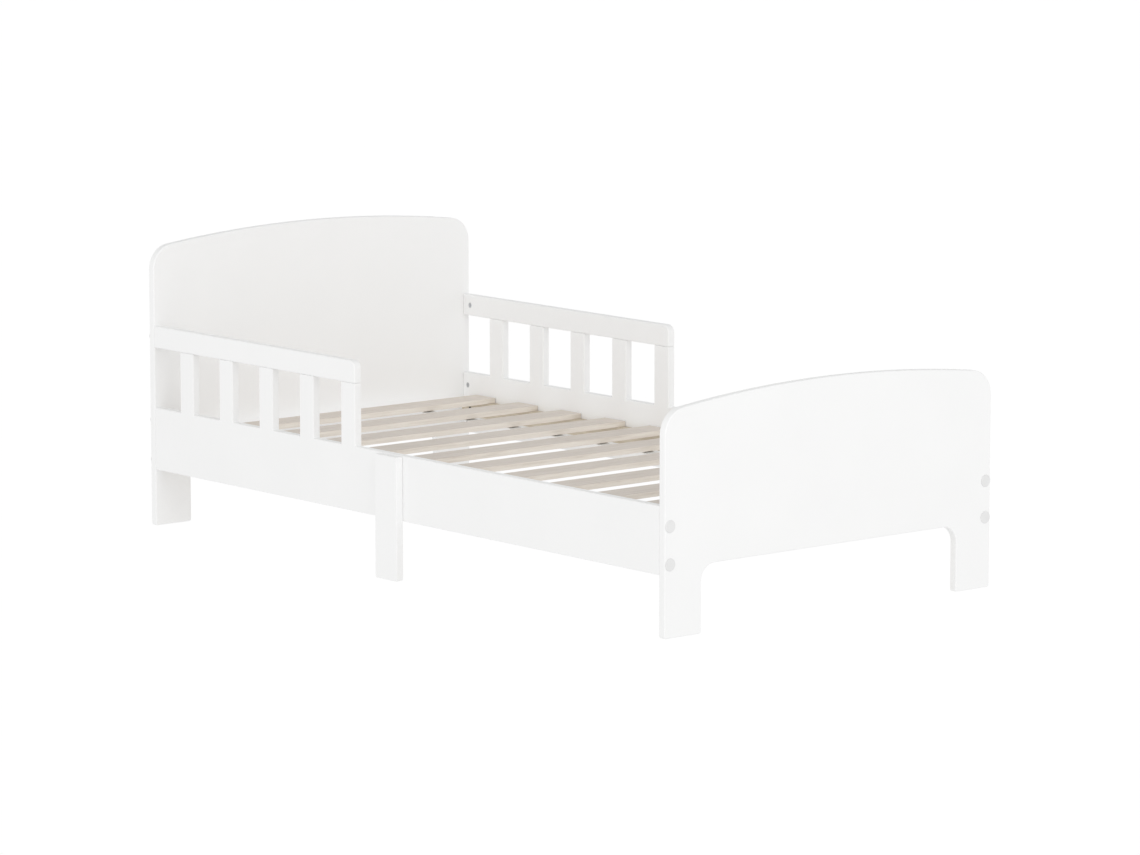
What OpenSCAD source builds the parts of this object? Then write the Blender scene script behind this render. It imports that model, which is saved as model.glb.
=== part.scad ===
// Toddler bed for a 1400 x 700 mm mattress.
// Frame: X across the bed, +Y towards the headboard, +Z up.
// Origin: on the floor, at the middle of the bed.
// "left" is -X and "right" is +X.

/* [Bed] */
// Overall width, over the headboard and footboard
bed_w = 740; // [700:1:800]
// Overall length, over the outer faces of the headboard and footboard
bed_l = 1440; // [1430:1:1480]
// Thickness of every painted board
board_t = 15; // [15:0.5:18]

/* [Headboard and footboard] */
// Height of the headboard at the crown of its arch
head_h = 539; // [480:1:620]
// Height of the footboard at the crown of its arch
foot_h = 400.5; // [330:0.5:460]
// Radius of the arched top edge
arch_r = 2650; // [1800:10:4000]
// Radius of the two top corners
corner_r = 45; // [30:1:60]
// Width of each leg
leg_w = 79.5; // [60:0.5:110]
// Height of the opening between the legs
cutout_h = 115.5; // [104:0.5:118]
// Radius of the opening's inner corners
cutout_r = 30; // [15:1:40]
// Radius of the corners under each leg
sole_r = 4; // [2:0.5:8]

/* [Side boards] */
// Height of the underside above the floor
side_z = 104.5; // [95:0.5:110]
// Height of the board below the guard
side_h = 115; // [110:0.5:125]

/* [Guard] */
// Number of upright posts on each side
post_count = 5; // [3:1:5]
// Width of a post
post_w = 40; // [30:1:50]
// Width of the window in front of each post
window_w = 80; // [50:1:85]
// Height of the rail's top edge above the floor
guard_top = 370.5; // [340:0.5:390]
// Height of the rail
rail_h = 40; // [35:1:50]
// Radius of the rail's free top corner
rail_end_r = 15; // [5:1:25]

/* [Centre legs] */
// Width of a centre leg
mid_leg_w = 60; // [50:1:90]
// Height of a centre leg
mid_leg_h = 218; // [212:0.5:219]
// Radius of the corners at the top of a centre leg
mid_leg_r = 2; // [1:0.5:10]

/* [Slatted base] */
// Distance from one slat to the next
slat_pitch = 127; // [120:0.5:128]
// Size of a slat along the bed
slat_w = 58; // [50:1:70]
// Size of a slat across the bed
slat_l = 708; // [660:1:709]
// Thickness of a slat
slat_t = 10; // [8:0.5:14]
// Height of the slats' top face above the floor
slat_top = 180; // [178:0.5:184]
// Width of the ledger that the slats rest on
ledger_w = 20; // [15:1:25]
// Height of the ledger
ledger_h = 30; // [28:1:34]
// Distance from each end of the ledger to the headboard or footboard
ledger_gap = 20; // [5:1:30]

/* [Straps] */
// Distance from the middle of the bed to the middle of each strap
strap_x = 196; // [120:1:260]
// Width of a strap
strap_w = 25; // [14:1:30]
// Thickness of a strap
strap_t = 1.2; // [0.8:0.1:2]
// Length of strap that lies flat under each slat
strap_flat = 16; // [14:1:50]
// How far a strap hangs down between two slats
strap_sag = 5; // [3:0.5:20]

/* [Fasteners] */
// Distance from a board's outer face to the bolts in it
bolt_inset = 9; // [8:0.5:9.5]
// Heights of the two bolts at each corner of the footboard
foot_bolt_z = [122.5, 186];
// Heights of the two bolts at each corner of the headboard
head_bolt_z = [122.5, 195.5];
// Distance from a side board's end to its barrel nuts
side_nut_in = 13.5; // [11:0.5:20]
// Distance from a guard rail's end to its barrel nut
rail_nut_in = 21; // [12:0.5:28]
// Diameter of a cover cap
cap_d = 21.5; // [16:0.5:22]
// Thickness of a cover cap
cap_t = 1.2; // [0.8:0.1:2]
// Distance from a board's edge to the middle of a cover cap
cap_inset = 11.3; // [11.2:0.1:14]

/* [Hidden] */
$fn = 64;
slat_count = 11;
// How far a cutter reaches past the face it cuts, and how far joined solids overlap
over = 1;
eps = 0.01;

arch_fn = 1440;
half_w = bed_w / 2;
half_l = bed_l / 2;
inner_w = half_w - board_t;
inner_l = half_l - board_t;
post_pitch = post_w + window_w;
rail_z = guard_top - rail_h;
guard_end = inner_l - post_count * post_pitch;
slat_z = slat_top - slat_t;
ledger_l = 2 * (inner_l - ledger_gap);

bolt_d = 5.9;
bolt_hole_d = 6.5;
bolt_head_d = 10.5;
bolt_head_t = 3.2;
socket_d = 4.6;
socket_depth = 2;
counterbore_d = 12;
counterbore_t = 3.5;
side_bolt_l = 30;
rail_bolt_l = 40;
bolt_play = 6;
nut_play = 0.2;
dowel_play = 0.5;
screw_play = 1.5;

nut_d = 10;
nut_l = 10;
nut_recess = 1;
nut_hole_d = 10.1;
nut_thread_d = 6;
nut_slot_w = 1.6;
nut_slot_t = 1;

dowel_d = 7.9;
dowel_hole_d = 8;
dowel_l = 30;
dowel_chamfer = 1;
dowel_end = 10;
corner_dowel_z = 155;

screw_d = 3.9;
screw_hole_d = 4;
screw_head_d = 8;
screw_head_t = 2.6;
screw_recess_d = 8.4;
screw_recess_t = 3;
screw_tip_l = 4;
screw_tip_d = 0.8;
cross_l = 4.8;
cross_w = 1.1;
cross_t = 1.3;
ledger_screw_l = 29;
leg_screw_l = 23;
ledger_screw_y = [-660, -330, 0, 330, 660];
leg_screw_z = [122.5, 195];

loop_steps = 8;
staple_w = 10;
staple_wire_y = 1;
staple_wire_z = 0.6;
staple_leg = 8;
staple_y = 6;

function post_y(i) = inner_l - window_w - post_w / 2 - i * post_pitch;
function slat_y(i) = ((slat_count - 1) / 2 - i) * slat_pitch;

// ---------- placing ----------

// An outline drawn in (X, Z), extruded from y = from towards +Y by depth
module across(from, depth) {
    translate([0, from + depth, 0]) rotate([90, 0, 0]) linear_extrude(depth) children();
}

// An outline drawn in (Y, Z), extruded from x = from towards +X by depth
module along(from, depth) {
    translate([from, 0, 0]) rotate([90, 0, 90]) linear_extrude(depth) children();
}

// A cylinder with its axis along Y, starting at pos and running length towards dir
module rod_y(pos, d, length, dir) {
    translate(pos) rotate([-90 * dir, 0, 0]) cylinder(d = d, h = length);
}

// A cylinder with its axis along X, starting at pos and running length towards dir
module rod_x(pos, d, length, dir) {
    translate(pos) rotate([0, 90 * dir, 0]) cylinder(d = d, h = length);
}

// ---------- headboard and footboard ----------

// Quarter of a square that is left outside a round corner, with its tip at the origin
module corner_waste(r) {
    difference() {
        translate([-r, -r]) square(r + over);
        translate([-r, -r]) circle(r);
    }
}

// What the round top corner takes off the right of a board of height h
module top_corner_waste(h) {
    cx = half_w - corner_r;
    cz = sqrt(pow(arch_r - corner_r, 2) - cx * cx) - arch_r + h;
    lean = asin(cx / (arch_r - corner_r));
    translate([cx, cz]) difference() {
        polygon([[0, 0], [2 * corner_r, 0], [2 * corner_r, 2 * corner_r],
                 [2 * corner_r * tan(lean), 2 * corner_r]]);
        circle(corner_r);
    }
}

// What the two round corners under the right leg take off
module leg_waste() {
    translate([half_w, 0]) mirror([0, 1]) corner_waste(sole_r);
    translate([half_w - leg_w, 0]) mirror([1, 0]) mirror([0, 1]) corner_waste(sole_r);
}

module opening_outline() {
    w = bed_w - 2 * leg_w;
    difference() {
        translate([-w / 2, -over]) square([w, cutout_h + over]);
        for (s = [0, 1]) mirror([s, 0])
            translate([w / 2, cutout_h]) corner_waste(cutout_r);
    }
}

module end_board_outline(h) {
    difference() {
        intersection() {
            translate([-half_w, 0]) square([bed_w, h]);
            translate([0, h - arch_r]) circle(arch_r, $fn = arch_fn);
        }
        opening_outline();
        for (s = [0, 1]) mirror([s, 0]) {
            top_corner_waste(h);
            leg_waste();
        }
    }
}

// Bolt holes, counterbored from the outer face, and a dowel hole in the inner face.
// dir is +1 for the headboard and -1 for the footboard.
module end_board_holes(heights, dir) {
    for (s = [-1, 1]) {
        for (z = heights) {
            pos = [s * (half_w - bolt_inset), dir * (half_l + over), z];
            rod_y(pos, bolt_hole_d, board_t + 2 * over, -dir);
            rod_y(pos, counterbore_d, counterbore_t + over, -dir);
        }
        rod_y([s * (half_w - board_t / 2), dir * (inner_l - over), corner_dowel_z],
              dowel_hole_d, dowel_end + dowel_play + over, dir);
    }
}

module headboard() {
    color("white") difference() {
        across(inner_l, board_t) end_board_outline(head_h);
        end_board_holes(concat(head_bolt_z, [rail_z + rail_h / 2]), 1);
    }
}

module footboard() {
    color("white") difference() {
        across(-half_l, board_t) end_board_outline(foot_h);
        end_board_holes(foot_bolt_z, -1);
    }
}

// ---------- side boards and guards ----------

// Lower board with the guard's posts standing on it, cut from one panel
module side_board_outline() {
    translate([-inner_l, side_z]) square([2 * inner_l, side_h]);
    for (i = [0 : post_count - 1])
        translate([post_y(i) - post_w / 2, side_z]) square([post_w, rail_z - side_z]);
}

// One bolt hole along Y and the blind cross hole for its barrel nut.
// end_y is the board's end, dir the way out of it, nut_in the nut's distance from it.
module bolt_and_nut_holes(end_y, dir, nut_in, depth, z) {
    rod_y([half_w - bolt_inset, end_y + dir * over, z], bolt_hole_d, depth + over, -dir);
    rod_x([inner_w - over, end_y - dir * nut_in, z], nut_hole_d,
          nut_recess + nut_l + nut_play + over, 1);
}

module side_board_right_solid() {
    side_depth = side_bolt_l + counterbore_t - board_t + bolt_play;
    difference() {
        along(inner_w, board_t) side_board_outline();
        for (z = head_bolt_z) bolt_and_nut_holes(inner_l, 1, side_nut_in, side_depth, z);
        for (z = foot_bolt_z) bolt_and_nut_holes(-inner_l, -1, side_nut_in, side_depth, z);
        for (dir = [-1, 1])
            rod_y([half_w - board_t / 2, dir * (inner_l + over), corner_dowel_z],
                  dowel_hole_d, dowel_l - dowel_end + dowel_play + over, -dir);
        for (i = [0 : post_count - 1])
            translate([half_w - board_t / 2, post_y(i), rail_z - dowel_l / 2 - dowel_play])
                cylinder(d = dowel_hole_d, h = dowel_l / 2 + dowel_play + over);
        for (y = ledger_screw_y)
            rod_x([inner_w - over, y, slat_z - ledger_h / 2], screw_hole_d,
                  ledger_screw_l - ledger_w + screw_play + over, 1);
        for (z = leg_screw_z) {
            rod_x([inner_w - over, 0, z], screw_hole_d, board_t + 2 * over, 1);
            rod_x([inner_w - over, 0, z], screw_recess_d, screw_recess_t + over, 1);
        }
    }
}

module side_board_right() { color("white") side_board_right_solid(); }

module side_board_left() { color("white") mirror([1, 0, 0]) side_board_right_solid(); }

module guard_rail_outline() {
    difference() {
        translate([guard_end, rail_z]) square([inner_l - guard_end, rail_h]);
        translate([guard_end, guard_top]) mirror([1, 0]) corner_waste(rail_end_r);
    }
}

module guard_rail_right_solid() {
    rail_depth = rail_bolt_l + counterbore_t - board_t + bolt_play;
    difference() {
        along(inner_w, board_t) guard_rail_outline();
        bolt_and_nut_holes(inner_l, 1, rail_nut_in, rail_depth, rail_z + rail_h / 2);
        for (i = [0 : post_count - 1])
            translate([half_w - board_t / 2, post_y(i), rail_z - over])
                cylinder(d = dowel_hole_d, h = dowel_l / 2 + dowel_play + over);
    }
}

module guard_rail_right() { color("white") guard_rail_right_solid(); }

module guard_rail_left() { color("white") mirror([1, 0, 0]) guard_rail_right_solid(); }

// ---------- centre legs ----------

module center_leg_outline() {
    difference() {
        translate([-mid_leg_w / 2, 0]) square([mid_leg_w, mid_leg_h]);
        for (s = [0, 1]) mirror([s, 0]) {
            translate([mid_leg_w / 2, 0]) mirror([0, 1]) corner_waste(sole_r);
            translate([mid_leg_w / 2, mid_leg_h]) corner_waste(mid_leg_r);
        }
    }
}

module center_leg_right_solid() {
    difference() {
        along(half_w, board_t) center_leg_outline();
        for (z = leg_screw_z)
            rod_x([half_w - over, 0, z], screw_hole_d,
                  leg_screw_l - board_t + screw_play + over, 1);
    }
}

module center_leg_right() { color("white") center_leg_right_solid(); }

module center_leg_left() { color("white") mirror([1, 0, 0]) center_leg_right_solid(); }

// ---------- slatted base ----------

module ledger_right_solid() {
    z = slat_z - ledger_h / 2;
    difference() {
        translate([inner_w - ledger_w, -ledger_l / 2, slat_z - ledger_h])
            cube([ledger_w, ledger_l, ledger_h]);
        for (y = ledger_screw_y) {
            rod_x([inner_w - ledger_w - over, y, z], screw_hole_d, ledger_w + 2 * over, 1);
            rod_x([inner_w - ledger_w - over, y, z], screw_recess_d, screw_recess_t + over, 1);
        }
    }
}

module ledger_right() { color("burlywood") ledger_right_solid(); }

module ledger_left() { color("burlywood") mirror([1, 0, 0]) ledger_right_solid(); }

// The space one staple takes, its crown under the strap and its legs up into the slat
module staple(x, y) {
    crown_z = slat_z - strap_t - staple_wire_z;
    translate([x - staple_w / 2, y - staple_wire_y / 2, crown_z])
        cube([staple_w, staple_wire_y, staple_wire_z]);
    for (s = [-1, 1])
        translate([x + s * (staple_w - staple_wire_z) / 2 - staple_wire_z / 2,
                   y - staple_wire_y / 2, crown_z])
            cube([staple_wire_z, staple_wire_y, staple_leg]);
}

// Two staples hold each strap to slat i
module slat_staples(i, x) {
    for (s = [-1, 1]) staple(x, slat_y(i) + s * staple_y);
}

module slat(i) {
    color("tan") difference() {
        translate([-slat_l / 2, slat_y(i) - slat_w / 2, slat_z])
            cube([slat_l, slat_w, slat_t]);
        for (s = [-1, 1]) slat_staples(i, s * strap_x);
    }
}

// Upper line of a strap from head to foot, in (Y, Z) from the slats' underside: flat under each
// slat, a shallow parabola between two slats
function strap_line() = concat(
    [[slat_y(0) + strap_flat / 2, 0]],
    [for (i = [0 : slat_count - 2], k = [loop_steps : -1 : -loop_steps])
        let (u = k / loop_steps)
        [slat_y(i) - slat_pitch / 2 + u * (slat_pitch - strap_flat) / 2,
         (u * u - 1) * (strap_sag - strap_t)]],
    [[slat_y(slat_count - 1) - strap_flat / 2, 0]]);

module strap_outline() {
    top = strap_line();
    bottom = [for (i = [len(top) - 1 : -1 : 0]) top[i] - [0, strap_t]];
    polygon(concat(top, bottom));
}

module strap_right_solid() {
    difference() {
        translate([0, 0, slat_z]) along(strap_x - strap_w / 2, strap_w) strap_outline();
        for (i = [0 : slat_count - 1]) slat_staples(i, strap_x);
    }
}

module strap_right() { color("ivory") strap_right_solid(); }

module strap_left() { color("ivory") mirror([1, 0, 0]) strap_right_solid(); }

module strap_staples() {
    color("silver")
        for (i = [0 : slat_count - 1], s = [-1, 1]) slat_staples(i, s * strap_x);
}

// ---------- fasteners ----------

// Connector bolt through an end board; dir is the way its head faces
module bolt(x, z, length, dir) {
    seat = dir * (half_l - counterbore_t);
    difference() {
        union() {
            rod_y([x, seat, z], bolt_head_d, bolt_head_t, dir);
            rod_y([x, seat + dir * eps, z], bolt_d, length + eps, -dir);
        }
        translate([x, seat + dir * (bolt_head_t + over), z])
            rotate([90 * dir, 0, 0]) cylinder(d = socket_d, h = socket_depth + over, $fn = 6);
    }
}

module headboard_bolts() {
    color("silver") for (s = [-1, 1]) {
        for (z = head_bolt_z) bolt(s * (half_w - bolt_inset), z, side_bolt_l, 1);
        bolt(s * (half_w - bolt_inset), rail_z + rail_h / 2, rail_bolt_l, 1);
    }
}

module footboard_bolts() {
    color("silver") for (s = [-1, 1], z = foot_bolt_z)
        bolt(s * (half_w - bolt_inset), z, side_bolt_l, -1);
}

// Barrel nut in the right-hand board, its slotted end facing the middle of the bed
module barrel_nut(y, z) {
    x = inner_w + nut_recess;
    difference() {
        rod_x([x, y, z], nut_d, nut_l, 1);
        translate([half_w - bolt_inset, y, z]) rotate([90, 0, 0])
            cylinder(d = nut_thread_d, h = 2 * nut_d, center = true);
        translate([x - over, y - nut_slot_w / 2, z - nut_d])
            cube([nut_slot_t + over, nut_slot_w, 2 * nut_d]);
    }
}

module side_barrel_nuts() {
    color("silver") for (s = [0, 1]) mirror([s, 0, 0]) {
        for (z = head_bolt_z) barrel_nut(inner_l - side_nut_in, z);
        for (z = foot_bolt_z) barrel_nut(-inner_l + side_nut_in, z);
    }
}

module rail_barrel_nuts() {
    color("silver") for (s = [0, 1]) mirror([s, 0, 0])
        barrel_nut(inner_l - rail_nut_in, rail_z + rail_h / 2);
}

// Flat cover cap on an end board's outer face
module cap(x, z, dir) {
    rim = cap_t / 2;
    translate([x, dir * half_l, z]) rotate([-90 * dir, 0, 0]) {
        cylinder(d = cap_d, h = rim);
        translate([0, 0, rim]) cylinder(d1 = cap_d, d2 = cap_d - 2 * rim, h = cap_t - rim);
    }
}

module headboard_caps() {
    color("gainsboro") for (s = [-1, 1], z = concat(head_bolt_z, [rail_z + rail_h / 2]))
        cap(s * (half_w - cap_inset), z, 1);
}

module footboard_caps() {
    color("gainsboro") for (s = [-1, 1], z = foot_bolt_z)
        cap(s * (half_w - cap_inset), z, -1);
}

// Dowel standing on the origin, chamfered at both ends
module dowel() {
    tip_d = dowel_d - 2 * dowel_chamfer;
    cylinder(d1 = tip_d, d2 = dowel_d, h = dowel_chamfer);
    translate([0, 0, dowel_chamfer]) cylinder(d = dowel_d, h = dowel_l - 2 * dowel_chamfer);
    translate([0, 0, dowel_l - dowel_chamfer])
        cylinder(d1 = dowel_d, d2 = tip_d, h = dowel_chamfer);
}

module corner_dowels() {
    color("burlywood") for (s = [-1, 1], dir = [-1, 1])
        translate([s * (half_w - board_t / 2), dir * (inner_l + dowel_end), corner_dowel_z])
            rotate([90 * dir, 0, 0]) dowel();
}

module guard_dowels() {
    color("burlywood") for (s = [-1, 1], i = [0 : post_count - 1])
        translate([s * (half_w - board_t / 2), post_y(i), rail_z - dowel_l / 2]) dowel();
}

// Wood screw driven towards +X, the top of its cross-slotted head at x
module screw(x, y, z, length) {
    shank_l = length - screw_head_t - screw_tip_l;
    translate([x, y, z]) rotate([0, 90, 0]) difference() {
        union() {
            cylinder(d = screw_head_d, h = screw_head_t);
            translate([0, 0, screw_head_t - eps]) cylinder(d = screw_d, h = shank_l + eps);
            translate([0, 0, screw_head_t + shank_l])
                cylinder(d1 = screw_d, d2 = screw_tip_d, h = screw_tip_l);
        }
        for (a = [0, 90]) rotate([0, 0, a])
            cube([cross_l, cross_w, 2 * cross_t], center = true);
    }
}

module ledger_screws_right_solid() {
    for (y = ledger_screw_y)
        screw(inner_w - ledger_w + screw_recess_t - screw_head_t, y,
              slat_z - ledger_h / 2, ledger_screw_l);
}

module ledger_screws_right() { color("darkslategray") ledger_screws_right_solid(); }

module ledger_screws_left() {
    color("darkslategray") mirror([1, 0, 0]) ledger_screws_right_solid();
}

module center_leg_screws() {
    color("silver") for (s = [0, 1], z = leg_screw_z) mirror([s, 0, 0])
        screw(inner_w + screw_recess_t - screw_head_t, 0, z, leg_screw_l);
}

headboard();
footboard();
side_board_left();
side_board_right();
guard_rail_left();
guard_rail_right();
center_leg_left();
center_leg_right();
ledger_left();
ledger_right();
slat(0);  // slat_01
slat(1);  // slat_02
slat(2);  // slat_03
slat(3);  // slat_04
slat(4);  // slat_05
slat(5);  // slat_06
slat(6);  // slat_07
slat(7);  // slat_08
slat(8);  // slat_09
slat(9);  // slat_10
slat(10);  // slat_11
strap_left();
strap_right();
strap_staples();
headboard_bolts();
footboard_bolts();
side_barrel_nuts();
rail_barrel_nuts();
headboard_caps();
footboard_caps();
corner_dowels();
guard_dowels();
ledger_screws_left();
ledger_screws_right();
center_leg_screws();
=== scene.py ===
"""Toddler bed: looks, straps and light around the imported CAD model. Metres, +Z up, +Y to the headboard."""
import math

import bmesh
import bpy
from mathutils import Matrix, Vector


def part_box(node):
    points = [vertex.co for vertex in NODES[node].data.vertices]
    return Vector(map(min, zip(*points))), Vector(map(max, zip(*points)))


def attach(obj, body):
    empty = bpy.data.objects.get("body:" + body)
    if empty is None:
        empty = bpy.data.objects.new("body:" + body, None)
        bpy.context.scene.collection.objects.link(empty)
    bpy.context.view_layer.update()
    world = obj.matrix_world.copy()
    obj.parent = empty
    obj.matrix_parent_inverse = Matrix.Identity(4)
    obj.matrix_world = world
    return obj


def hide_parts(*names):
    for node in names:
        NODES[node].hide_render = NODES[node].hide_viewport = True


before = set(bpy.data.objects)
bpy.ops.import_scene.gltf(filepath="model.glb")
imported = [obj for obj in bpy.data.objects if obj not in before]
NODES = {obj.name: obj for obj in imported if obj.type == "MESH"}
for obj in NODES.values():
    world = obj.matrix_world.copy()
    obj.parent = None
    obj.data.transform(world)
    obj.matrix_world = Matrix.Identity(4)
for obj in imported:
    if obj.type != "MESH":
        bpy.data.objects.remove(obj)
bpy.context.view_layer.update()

# ---------------------------------------------------------------- camera

CAMERA_AT = Vector((-5.8731, -7.0467, 1.6381))
CAMERA_YAW = -39.962
CAMERA_PITCH = -8.732
CAMERA_LENS = 165.05


def make_camera():
    data = bpy.data.cameras.new("camera")
    data.lens = CAMERA_LENS
    data.sensor_width = 36
    data.clip_end = 400
    camera = bpy.data.objects.new("camera", data)
    yaw, pitch = math.radians(CAMERA_YAW), math.radians(CAMERA_PITCH)
    look = Vector((-math.sin(yaw) * math.cos(pitch), math.cos(yaw) * math.cos(pitch), math.sin(pitch)))
    camera.rotation_euler = look.to_track_quat("-Z", "Y").to_euler()
    camera.location = CAMERA_AT
    bpy.context.scene.collection.objects.link(camera)
    bpy.context.scene.camera = camera


make_camera()

# ---------------------------------------------------------------- node helpers


def fill(node, **values):
    """Sets a node's input sockets. An underscore in a name stands for a space."""
    for key, value in values.items():
        node.inputs[key.replace("_", " ")].default_value = value


class Nodes:
    """A material's node tree with short calls for the nodes used here."""

    def __init__(self, name):
        self.material = bpy.data.materials.new(name)
        self.material.use_nodes = True
        self.tree = self.material.node_tree
        self.tree.nodes.clear()
        self.shader = self.add("ShaderNodeBsdfPrincipled")
        self.output = self.add("ShaderNodeOutputMaterial")
        self.link(self.shader.outputs["BSDF"], self.output.inputs["Surface"])
        self.space = self.add("ShaderNodeTexCoord").outputs["Object"]

    def add(self, kind, **settings):
        node = self.tree.nodes.new(kind)
        for key, value in settings.items():
            setattr(node, key, value)
        return node

    def link(self, source, target):
        self.tree.links.new(source, target)

    def feed(self, value, target):
        """Gives an input socket another node's output, an RGB colour or a number."""
        if isinstance(value, bpy.types.NodeSocket):
            self.link(value, target)
        elif isinstance(value, tuple):
            target.default_value = (*value, 1)
        else:
            target.default_value = value

    def scaled(self, scale, rotation=(0, 0, 0)):
        node = self.add("ShaderNodeMapping")
        fill(node, Scale=scale, Rotation=rotation)
        self.link(self.space, node.inputs["Vector"])
        return node.outputs["Vector"]

    def noise(self, vector, scale, detail=3.0, roughness=0.5, distortion=0.0):
        node = self.add("ShaderNodeTexNoise")
        fill(node, Scale=scale, Detail=detail, Roughness=roughness, Distortion=distortion)
        self.link(vector, node.inputs["Vector"])
        return node.outputs["Fac"]

    def voronoi(self, vector, scale):
        node = self.add("ShaderNodeTexVoronoi")
        fill(node, Scale=scale)
        self.link(vector, node.inputs["Vector"])
        return node.outputs["Distance"]

    def wave(self, vector, scale, direction, distortion=0.0, detail=2.0):
        node = self.add("ShaderNodeTexWave", bands_direction=direction)
        fill(node, Scale=scale, Distortion=distortion, Detail=detail)
        self.link(vector, node.inputs["Vector"])
        return node.outputs["Fac"]

    def ramp(self, fac, *stops):
        node = self.add("ShaderNodeValToRGB")
        line = node.color_ramp
        while len(line.elements) < len(stops):
            line.elements.new(0.5)
        for element, (place, colour) in zip(line.elements, stops):
            element.position = place
            element.color = (*colour, 1)
        self.link(fac, node.inputs["Fac"])
        return node.outputs["Color"]

    def span(self, fac, low, high, start=0.0, end=1.0):
        """Maps start..end of a value to low..high."""
        node = self.add("ShaderNodeMapRange")
        fill(node, From_Min=start, From_Max=end, To_Min=low, To_Max=high)
        self.link(fac, node.inputs["Value"])
        return node.outputs["Result"]

    def maths(self, operation, *values):
        node = self.add("ShaderNodeMath", operation=operation)
        for target, value in zip(node.inputs, values):
            self.feed(value, target)
        return node.outputs["Value"]

    def mix(self, fac, a, b, blend="MIX"):
        node = self.add("ShaderNodeMix", data_type="RGBA", blend_type=blend)
        factor = node.inputs["Factor"]
        colours = [socket for socket in node.inputs if socket.type == "RGBA"]
        for target, value in zip((factor, *colours), (fac, a, b)):
            self.feed(value, target)
        return next(socket for socket in node.outputs if socket.type == "RGBA")

    def bump(self, height, distance, strength, under=None):
        node = self.add("ShaderNodeBump")
        fill(node, Distance=distance, Strength=strength)
        self.link(height, node.inputs["Height"])
        if under is not None:
            self.link(under, node.inputs["Normal"])
        return node.outputs["Normal"]

    def finish(self, colour, roughness, normal, **sockets):
        self.link(colour, self.shader.inputs["Base Color"])
        self.link(roughness, self.shader.inputs["Roughness"])
        self.link(normal, self.shader.inputs["Normal"])
        fill(self.shader, **sockets)
        return self.material


# ---------------------------------------------------------------- materials


def white_lacquer():
    """Sprayed satin lacquer on smooth board: a faint orange peel, and thinner paint here and there."""
    n = Nodes("white_lacquer")
    cloud = n.noise(n.space, 7, 4, 0.55)
    peel = n.noise(n.space, 520, 2, 0.5)
    dust = n.voronoi(n.space, 900)
    colour = n.ramp(cloud, (0.3, (0.94, 0.941, 0.938)), (0.7, (0.955, 0.956, 0.953)))
    rough = n.maths("ADD", n.span(cloud, 0.40, 0.47, 0.3, 0.7), n.span(peel, -0.03, 0.03, 0.3, 0.7))
    normal = n.bump(peel, 0.00004, 1.0, n.bump(dust, 0.00001, 0.6))
    return n.finish(colour, rough, normal, Specular_IOR_Level=0.42, Coat_Weight=0.08, Coat_Roughness=0.3)


def wood(name, grain_axis, pale, mid, dark, streak, fleck, rough, ring_scale, top_face_shade=(1.0, 1.0, 1.0)):
    """Planed wood with its grain along grain_axis: rings, long streaks, short pores and a fine fibre bump.

    The last argument is painted shade: faces that point up or down are multiplied by it, so they come out
    darker than the sides, as under a dimmer light from above."""
    n = Nodes(name)
    streak_stretch, pore_stretch = 0.045, 0.16
    fibre = n.scaled(tuple(streak_stretch if axis == grain_axis else 1.0 for axis in "XYZ"))
    pore_space = n.scaled(tuple(pore_stretch if axis == grain_axis else 1.0 for axis in "XYZ"))
    warp = n.noise(n.scaled((1.3, 1.3, 1.3)), 2.2, 2, 0.5)
    rings = n.wave(pore_space, ring_scale, "Z", 5.0, 3.0)
    long_streak = n.noise(fibre, 260, 5, 0.62, 0.4)
    fine = n.noise(fibre, 1100, 3, 0.6)
    pores = n.voronoi(pore_space, 620)
    base = n.ramp(long_streak, (0.28, dark), (0.48, mid), (0.72, pale))
    toned = n.mix(n.span(rings, 0.0, streak), base, mid)
    clouded = n.mix(n.span(warp, 0.0, 0.35, 0.35, 0.75), toned, pale)
    flecked = n.mix(n.span(pores, fleck, 0.0, 0.05, 0.32), clouded, dark)
    fibred = n.mix(n.span(fine, 0.0, 0.22, 0.35, 0.75), flecked, pale)
    facing = n.add("ShaderNodeSeparateXYZ")
    n.link(n.add("ShaderNodeTexCoord").outputs["Normal"], facing.inputs["Vector"])
    # Painted shade: faces pointing up or down are darkened by the last argument, standing in for the dimmer
    # light from above.
    colour = n.mix(n.maths("ABSOLUTE", facing.outputs["Z"]), fibred, top_face_shade, "MULTIPLY")
    streak_rough = n.span(long_streak, rough + 0.05, rough - 0.05, 0.3, 0.7)
    roughness = n.maths("ADD", streak_rough, n.span(fine, -0.03, 0.03))
    normal = n.bump(pores, 0.00008, 0.8, n.bump(long_streak, 0.00012, 0.9, n.bump(fine, 0.00005, 0.8)))
    return n.finish(colour, roughness, normal, Specular_IOR_Level=0.3)


def webbing():
    """Undyed polypropylene webbing: warp ribs crossed by the weft, a broken twill, and a little fuzz."""
    n = Nodes("webbing")
    warp = n.wave(n.space, 251, "X")
    weft = n.wave(n.space, 196, "Y")
    twill = n.wave(n.scaled((1, 1, 1), (0, 0, math.radians(38))), 105, "X", 1.0)
    weave = n.maths("MULTIPLY", n.maths("MAXIMUM", warp, weft), n.span(twill, 0.7, 1.0))
    fuzz = n.noise(n.space, 1800, 3, 0.6)
    colour = n.ramp(weave, (0.2, (0.74, 0.73, 0.70)), (0.95, (0.90, 0.89, 0.86)))
    tinted = n.mix(n.span(fuzz, 0.0, 0.25, 0.35, 0.7), colour, (0.85, 0.84, 0.81))
    rough = n.maths("ADD", n.span(weave, 0.8, 0.62), n.span(fuzz, -0.05, 0.05))
    normal = n.bump(weave, 0.00022, 1.0, n.bump(fuzz, 0.00004, 0.7))
    return n.finish(tinted, rough, normal, Sheen_Weight=0.15, Sheen_Roughness=0.4)


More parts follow.
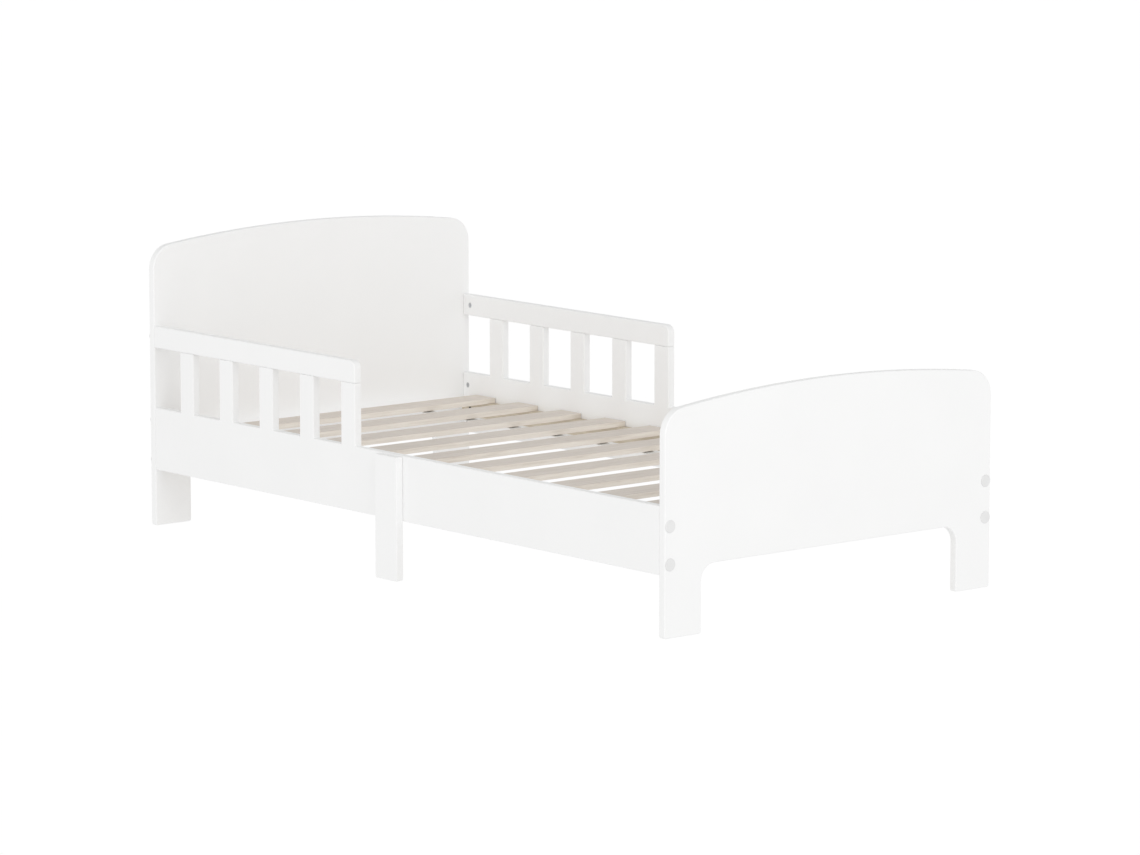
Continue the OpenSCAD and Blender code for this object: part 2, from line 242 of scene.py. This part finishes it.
def metal(name, pale, dark, rough, metallic=1.0):
    """Plated or blackened steel, brushed along Y and slightly blotched."""
    n = Nodes(name)
    blotch = n.noise(n.space, 180, 4, 0.6)
    scratch = n.noise(n.scaled((1, 0.12, 1)), 2400, 3, 0.6)
    colour = n.mix(n.span(scratch, 0.0, 0.3, 0.3, 0.7), n.ramp(blotch, (0.3, dark), (0.7, pale)), dark)
    blotch_rough = n.span(blotch, rough - 0.06, rough + 0.08, 0.3, 0.7)
    roughness = n.maths("ADD", blotch_rough, n.span(scratch, -0.05, 0.05))
    return n.finish(colour, roughness, n.bump(scratch, 0.00002, 0.7), Metallic=metallic)


def cap_plastic():
    """Moulded grey-white polythene with a fine spark-eroded texture."""
    n = Nodes("cap_plastic")
    grain = n.noise(n.space, 1500, 3, 0.6)
    tone = n.noise(n.space, 60, 2, 0.5)
    colour = n.ramp(tone, (0.3, (0.80, 0.80, 0.797)), (0.7, (0.83, 0.83, 0.827)))
    rough = n.span(grain, 0.42, 0.56, 0.3, 0.7)
    return n.finish(colour, rough, n.bump(grain, 0.00003, 0.8), Specular_IOR_Level=0.4)


MATERIALS = {
    "white_lacquer": white_lacquer(),
    "slat_wood": wood(
        "slat_wood", grain_axis="X",
        pale=(0.83, 0.78, 0.71), mid=(0.74, 0.678, 0.603), dark=(0.592, 0.528, 0.462),
        # Painted shade on the slats' tops and undersides, a shade darker and greyer than their sides.
        streak=0.25, fleck=0.3, rough=0.62, ring_scale=55, top_face_shade=(0.974, 0.965, 0.976),
    ),
    "ledger_pine": wood(
        "ledger_pine", grain_axis="Y",
        pale=(0.66, 0.59, 0.48), mid=(0.55, 0.48, 0.37), dark=(0.42, 0.34, 0.24),
        streak=0.5, fleck=0.2, rough=0.6, ring_scale=80,
    ),
    "dowel_beech": wood(
        "dowel_beech", grain_axis="Y",
        pale=(0.74, 0.60, 0.44), mid=(0.64, 0.49, 0.34), dark=(0.5, 0.36, 0.23),
        streak=0.3, fleck=0.35, rough=0.6, ring_scale=120,
    ),
    "webbing": webbing(),
    "zinc_steel": metal("zinc_steel", pale=(0.70, 0.71, 0.73), dark=(0.55, 0.56, 0.58), rough=0.34),
    "black_steel": metal(
        "black_steel", pale=(0.035, 0.035, 0.038), dark=(0.015, 0.015, 0.017), rough=0.42, metallic=0.6
    ),
    "cap_plastic": cap_plastic(),
}
for o in NODES.values():
    for place in o.material_slots:
        place.material = MATERIALS[place.material.name.split(".")[0]]

# ---------------------------------------------------------------- edges of the CAD parts

WELD_DISTANCE = 0.00001
SHARP_ANGLE = math.radians(30)
FLAT_ANGLE = math.radians(0.1)


def edge_group():
    """Geometry nodes that weld a CAD mesh, shade it by angle, and give its long outlines a bevel weight of 1.

    An outline is a run of sharp edges longer than "Shortest", so the rims of small holes stay crisp."""
    g = bpy.data.node_groups.new("soft_outlines", "GeometryNodeTree")
    g.interface.new_socket("Geometry", in_out="INPUT", socket_type="NodeSocketGeometry")
    g.interface.new_socket("Shortest", in_out="INPUT", socket_type="NodeSocketFloat")
    g.interface.new_socket("Geometry", in_out="OUTPUT", socket_type="NodeSocketGeometry")

    def add(kind, **settings):
        node = g.nodes.new(kind)
        for key, value in settings.items():
            setattr(node, key, value)
        return node

    def link(a, b):
        g.links.new(a, b)

    start, end = add("NodeGroupInput"), add("NodeGroupOutput")
    weld = add("GeometryNodeMergeByDistance")
    fill(weld, Distance=WELD_DISTANCE)
    link(start.outputs["Geometry"], weld.inputs["Geometry"])
    angle = add("GeometryNodeInputMeshEdgeAngle")
    sharp = add("FunctionNodeCompare", data_type="FLOAT", operation="GREATER_THAN")
    fill(sharp, B=SHARP_ANGLE)
    link(angle.outputs["Unsigned Angle"], sharp.inputs["A"])
    shaded = add("GeometryNodeSetMeshNormal")
    fill(shaded, Remove_Custom=True)
    link(weld.outputs["Geometry"], shaded.inputs["Mesh"])
    link(sharp.outputs["Result"], shaded.inputs["Edge Sharpness"])
    lines = add("GeometryNodeSeparateGeometry", domain="EDGE")
    link(shaded.outputs["Mesh"], lines.inputs["Geometry"])
    link(sharp.outputs["Result"], lines.inputs["Selection"])
    ends = add("GeometryNodeInputMeshEdgeVertices")
    length = add("ShaderNodeVectorMath", operation="DISTANCE")
    link(ends.outputs["Position 1"], length.inputs[0])
    link(ends.outputs["Position 2"], length.inputs[1])
    island = add("GeometryNodeInputMeshIsland")
    total = add("GeometryNodeAccumulateField", data_type="FLOAT", domain="EDGE")
    link(length.outputs["Value"], total.inputs["Value"])
    link(island.outputs["Island Index"], total.inputs["Group ID"])
    place = add("GeometryNodeInputPosition")
    nearest = add("GeometryNodeSampleNearest", domain="EDGE")
    link(lines.outputs["Selection"], nearest.inputs["Geometry"])
    link(place.outputs["Position"], nearest.inputs["Sample Position"])
    run = add("GeometryNodeSampleIndex", data_type="FLOAT", domain="EDGE")
    link(lines.outputs["Selection"], run.inputs["Geometry"])
    link(total.outputs["Total"], run.inputs["Value"])
    link(nearest.outputs["Index"], run.inputs["Index"])
    long_run = add("FunctionNodeCompare", data_type="FLOAT", operation="GREATER_THAN")
    link(run.outputs["Value"], long_run.inputs["A"])
    link(start.outputs["Shortest"], long_run.inputs["B"])
    both = add("FunctionNodeBooleanMath", operation="AND")
    link(sharp.outputs["Result"], both.inputs[0])
    link(long_run.outputs["Result"], both.inputs[1])
    store = add("GeometryNodeStoreNamedAttribute", data_type="FLOAT", domain="EDGE")
    fill(store, Name="bevel_weight_edge")
    link(shaded.outputs["Mesh"], store.inputs["Geometry"])
    link(both.outputs["Boolean"], store.inputs["Value"])
    link(store.outputs["Geometry"], end.inputs["Geometry"])
    return g


EDGES = edge_group()
SHORTEST_SOCKET = next(item.identifier for item in EDGES.interface.items_tree if item.name == "Shortest")


def soften(o, width, shortest, segments):
    """Rounds a CAD part's outlines by width, as its cutter or its plating leaves them."""
    marks = o.modifiers.new("outlines", "NODES")
    marks.node_group = EDGES
    marks[SHORTEST_SOCKET] = shortest
    flat = o.modifiers.new("flat", "DECIMATE")
    flat.decimate_type = "DISSOLVE"
    flat.angle_limit = FLAT_ANGLE
    flat.delimit = {"SHARP", "NORMAL"}
    round_off = o.modifiers.new("round_off", "BEVEL")
    round_off.limit_method = "WEIGHT"
    round_off.width = width
    round_off.segments = segments
    round_off.use_clamp_overlap = False
    round_off.harden_normals = True
    round_off.loop_slide = False
    round_off.miter_outer = "MITER_PATCH"


FITTING = {"shortest": 0.02, "segments": 3}
PANEL = {"shortest": 0.1, "segments": 4}
# The width of the rounding, by the first of these words that the node's name holds. Nuts, dowels and
# staples keep their plain edges.
ROUNDS = {
    "caps": (0.00025, FITTING),
    "bolts": (0.0003, FITTING),
    "screws": (0.0002, FITTING),
    "headboard": (0.0022, PANEL),
    "footboard": (0.0022, PANEL),
    "side_board": (0.0018, PANEL),
    "guard_rail": (0.0022, PANEL),
    "center_leg": (0.0015, PANEL),
    "ledger": (0.0012, PANEL),
    "slat_": (0.0009, PANEL),
}
for name, o in NODES.items():
    word = next((word for word in ROUNDS if word in name), None)
    if word is not None:
        width, size = ROUNDS[word]
        soften(o, width, **size)

# ---------------------------------------------------------------- straps

STRAP_THICK = 0.0012
STRAP_RIBS = 8
POINTS_PER_RIB = 5
RIB_DEPTH = 0.0001
SELVEDGE_STEPS = 4
RING_STEP = 0.0025
SLATS = [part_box(name) for name in sorted(NODES) if name.startswith("slat_")]


def strap_section(width):
    """Outline of the webbing, as (sideways, up) pairs: ribbed faces between two round selvedges."""
    edge = STRAP_THICK / 2
    reach = width / 2 - edge
    steps = STRAP_RIBS * POINTS_PER_RIB
    face = []
    for i in range(steps + 1):
        t = i / steps
        groove = RIB_DEPTH * (1 - math.cos(2 * math.pi * STRAP_RIBS * t)) / 2
        face.append((reach * (2 * t - 1), edge - (RIB_DEPTH - groove if 0 < t < 1 else 0)))
    turn = [math.radians(90 * k / SELVEDGE_STEPS) for k in range(SELVEDGE_STEPS - 1, -SELVEDGE_STEPS, -1)]
    right = [(reach + edge * math.cos(a), edge * math.sin(a)) for a in turn]
    half = face + right
    return half + [(-x, -z) for x, z in half]


def strap_line(low, high):
    """Middle line of the webbing, as (y, z): flat where it is stapled to a slat, hanging in between."""
    under = SLATS[0][0].z - STRAP_THICK / 2
    centres = [(a.y + b.y) / 2 for a, b in SLATS]
    flat = high.y - max(centres)
    half_gap = abs(centres[0] - centres[1]) / 2 - flat
    drop = under - STRAP_THICK / 2 - low.z
    line = []
    count = round((high.y - low.y) / RING_STEP)
    for i in range(count + 1):
        y = low.y + (high.y - low.y) * i / count
        away = min(abs(y - c) for c in centres)
        u = max(0.0, away - flat) / half_gap
        line.append((y, under - drop * (1 - (1 - u) ** 2)))
    return line


def close_end(bm, ring):
    """Fills an end of the webbing with narrow faces between its two outlines, and keeps its rim sharp."""
    count = len(ring)
    tip = STRAP_RIBS * POINTS_PER_RIB + SELVEDGE_STEPS
    for d in range(count // 2):
        corners = [ring[(tip + k) % count] for k in (-d, d, d + 1, -d - 1)]
        bm.faces.new(list(dict.fromkeys(corners))).smooth = False
    for i in range(count):
        bm.edges.get((ring[i], ring[(i + 1) % count])).smooth = False


def make_strap(node):
    """Webbing swept along a strap's line, in the place of the CAD strap."""
    low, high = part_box(node)
    section = strap_section(high.x - low.x)
    line = strap_line(low, high)
    middle = (low.x + high.x) / 2
    bm = bmesh.new()
    rings = []
    for i, (y, z) in enumerate(line):
        y0, z0 = line[max(i - 1, 0)]
        y1, z1 = line[min(i + 1, len(line) - 1)]
        run = Vector((0, y1 - y0, z1 - z0)).normalized()
        up = Vector((0, -run.z, run.y))
        rings.append([bm.verts.new(Vector((middle + side, y, z)) + up * lift) for side, lift in section])
    count = len(section)
    for a, b in zip(rings, rings[1:]):
        for i in range(count):
            j = (i + 1) % count
            bm.faces.new((a[i], a[j], b[j], b[i])).smooth = True
    close_end(bm, rings[0])
    close_end(bm, rings[-1])
    bmesh.ops.recalc_face_normals(bm, faces=bm.faces)
    mesh = bpy.data.meshes.new(node + "_webbing")
    bm.to_mesh(mesh)
    bm.free()
    mesh.materials.append(MATERIALS["webbing"])
    strap = bpy.data.objects.new(node + "_webbing", mesh)
    bpy.context.scene.collection.objects.link(strap)
    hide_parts(node)
    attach(strap, "slat_base")


for side in ("strap_left", "strap_right"):
    make_strap(side)

# ---------------------------------------------------------------- floor, sky and lamps

FLOOR_REACH = 80
FLOOR_DROP = 0.0005


def make_floor(glow, seen):
    """A white floor that lights the bed from below like a studio sweep, and shows as plain white."""
    n = Nodes("floor")
    n.tree.nodes.remove(n.shader)
    cloud = n.span(n.noise(n.space, 0.6, 2, 0.5), 0.998, 1.002)
    ray = n.add("ShaderNodeLightPath")
    light = n.add("ShaderNodeEmission")
    strength = n.maths("MULTIPLY", cloud, n.span(ray.outputs["Is Camera Ray"], glow, seen))
    n.link(strength, light.inputs["Strength"])
    n.link(light.outputs["Emission"], n.output.inputs["Surface"])
    n.material.cycles.emission_sampling = "NONE"
    bm = bmesh.new()
    bmesh.ops.create_grid(bm, x_segments=1, y_segments=1, size=FLOOR_REACH)
    mesh = bpy.data.meshes.new("floor")
    bm.to_mesh(mesh)
    bm.free()
    floor = bpy.data.objects.new("floor", mesh)
    floor.location.z = -FLOOR_DROP
    mesh.materials.append(n.material)
    bpy.context.scene.collection.objects.link(floor)


def make_sky(horizon, zenith):
    """A white dome whose light fades from the horizon to the zenith."""
    world = bpy.data.worlds.new("studio")
    bpy.context.scene.world = world
    world.use_nodes = True
    tree = world.node_tree
    back = tree.nodes["Background"]
    place = tree.nodes.new("ShaderNodeTexCoord")
    split = tree.nodes.new("ShaderNodeSeparateXYZ")
    fade = tree.nodes.new("ShaderNodeMapRange")
    fill(fade, To_Min=horizon, To_Max=zenith)
    fill(back, Color=(1, 1, 1, 1))
    tree.links.new(place.outputs["Generated"], split.inputs["Vector"])
    tree.links.new(split.outputs["Z"], fade.inputs["Value"])
    tree.links.new(fade.outputs["Result"], back.inputs["Strength"])


def softbox(name, at, towards, size, power):
    data = bpy.data.lights.new(name, "AREA")
    data.shape = "RECTANGLE"
    data.size, data.size_y = size
    data.energy = power
    lamp = bpy.data.objects.new(name, data)
    lamp.location = at
    lamp.rotation_euler = (Vector(towards) - Vector(at)).to_track_quat("-Z", "Y").to_euler()
    bpy.context.scene.collection.objects.link(lamp)


make_floor(glow=0.865, seen=1.005)
make_sky(horizon=0.975, zenith=0.45)
softbox("front_softbox", at=(-1.0, -5.6, 3.6), towards=(0, 0, 0.3), size=(4.0, 3.0), power=85)
softbox("side_softbox", at=(-5.6, -0.6, 3.6), towards=(0, 0, 0.3), size=(4.0, 3.0), power=59)
bpy.context.scene.view_settings.view_transform = "Standard"
bpy.context.scene.view_settings.look = "None"
